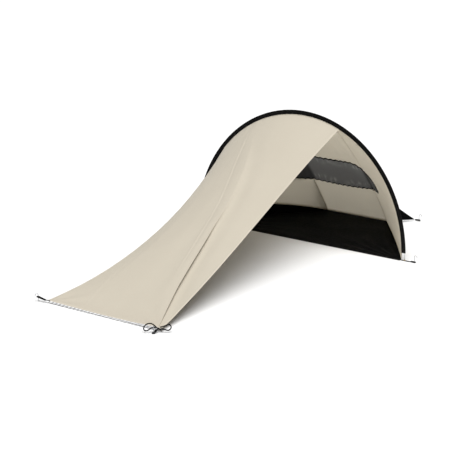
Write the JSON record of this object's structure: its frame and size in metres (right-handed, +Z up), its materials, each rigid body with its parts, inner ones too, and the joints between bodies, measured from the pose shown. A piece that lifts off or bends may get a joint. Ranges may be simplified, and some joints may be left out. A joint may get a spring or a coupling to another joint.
{
  "type": "one-hoop ground shelter",
  "caption": "Open-fronted shelter: an arched pole in a sleeve, a long pegged front canopy, a rear enclosure with a crescent mesh window, a groundsheet, corner fins, cords and wire pegs.",
  "frame": {"origin": "on the ground under the groundsheet, midway between the feet of the hoop", "axes": "+X along the hoop, +Y to the rear enclosure, -Y to the pegged front hem, +Z up"},
  "size_m": [2.208, 3.5282, 1.19],
  "materials": {
    "canopy_cloth": "matte beige plain-weave cloth",
    "wall_cloth": "matte beige plain-weave cloth",
    "floor_cloth": "coated black cloth, faint sheen",
    "sleeve_cloth": "matte black ripstop cloth",
    "mesh_cloth": "fine dark grey netting",
    "webbing": "matte black woven webbing",
    "cord": "matte black braided cord",
    "pole": "satin anodised",
    "steel": "zinc-plated wire",
    "brass": "satin",
    "elastic": "braided elastic cord"
  },
  "bodies": {
    "root": {"roof_panel": "wall_cloth", "rear_wall": "wall_cloth", "side_wall_left": "wall_cloth", "side_wall_right": "wall_cloth", "window_mesh": "mesh_cloth", "window_binding": "webbing", "groundsheet": "floor_cloth", "tub_side_left": "floor_cloth", "tub_side_right": "floor_cloth", "corner_fin_left": "floor_cloth", "corner_fin_right": "floor_cloth", "foot_strap_left": "webbing", "foot_strap_right": "webbing", "grommet_left": "brass", "grommet_right": "brass", "side_cord_left": "cord", "side_cord_right": "cord", "rear_cord_left": "cord", "rear_cord_right": "cord"},
    "hoop": {"hoop_sleeve": "sleeve_cloth", "pole_section_1": "pole", "pole_section_2": "pole", "pole_section_3": "pole", "pole_section_4": "pole", "pole_section_5": "pole", "pole_section_6": "pole", "pole_section_7": "pole", "ferrule_1": "pole", "ferrule_2": "pole", "ferrule_3": "pole", "ferrule_4": "pole", "ferrule_5": "pole", "ferrule_6": "pole", "shock_cord": "elastic", "pole_tip_left": "brass", "pole_tip_right": "brass"},
    "front_canopy": {"front_canopy": "canopy_cloth", "hem_tab_left": "webbing", "hem_tab_right": "webbing", "front_cord_left": "cord", "front_cord_right": "cord", "bow_loop_left": "cord", "bow_loop_right": "cord", "bow_knot": "cord"},
    "peg_front_left": {"peg_front_left": "steel"},
    "peg_front_right": {"peg_front_right": "steel"},
    "peg_side_left": {"peg_side_left": "steel"},
    "peg_side_right": {"peg_side_right": "steel"},
    "peg_rear_left": {"peg_rear_left": "steel"},
    "peg_rear_right": {"peg_rear_right": "steel"}
  },
  "joints": [
    {"name": "hoop_fold", "type": "hinge", "parent": "root", "child": "hoop", "pos_m": [0, 0.0004, 0.008], "axis": [-1, 0, 0], "range_deg": [0, 84], "deforming": ["roof_panel", "rear_wall", "side_wall_left", "side_wall_right", "window_mesh", "window_binding", "tub_side_left", "tub_side_right", "corner_fin_left", "corner_fin_right", "front_canopy", "front_cord_left", "front_cord_right", "rear_cord_left", "rear_cord_right"]},
    {"name": "canopy_swing", "type": "hinge", "parent": "hoop", "child": "front_canopy", "pos_m": [0, 0.0482, 0.9936], "axis": [-1, 0, 0], "range_deg": [-63, 0], "deforming": ["front_canopy", "front_cord_left", "front_cord_right"]},
    {"name": "peg_front_left_pull", "type": "slide", "parent": "root", "child": "peg_front_left", "axis": [0, 0, 1], "range_m": [0, 0.17]},
    {"name": "peg_front_right_pull", "type": "slide", "parent": "root", "child": "peg_front_right", "axis": [0, 0, 1], "range_m": [0, 0.17]},
    {"name": "peg_side_left_pull", "type": "slide", "parent": "root", "child": "peg_side_left", "axis": [0, 0, 1], "range_m": [0, 0.17]},
    {"name": "peg_side_right_pull", "type": "slide", "parent": "root", "child": "peg_side_right", "axis": [0, 0, 1], "range_m": [0, 0.17]},
    {"name": "peg_rear_left_pull", "type": "slide", "parent": "root", "child": "peg_rear_left", "axis": [0, 0, 1], "range_m": [0, 0.17]},
    {"name": "peg_rear_right_pull", "type": "slide", "parent": "root", "child": "peg_rear_right", "axis": [0, 0, 1], "range_m": [0, 0.17]}
  ],
  "couplings": [
    {"joint": "canopy_swing", "follows": "hoop_fold", "ratio": -0.7444}
  ]
}
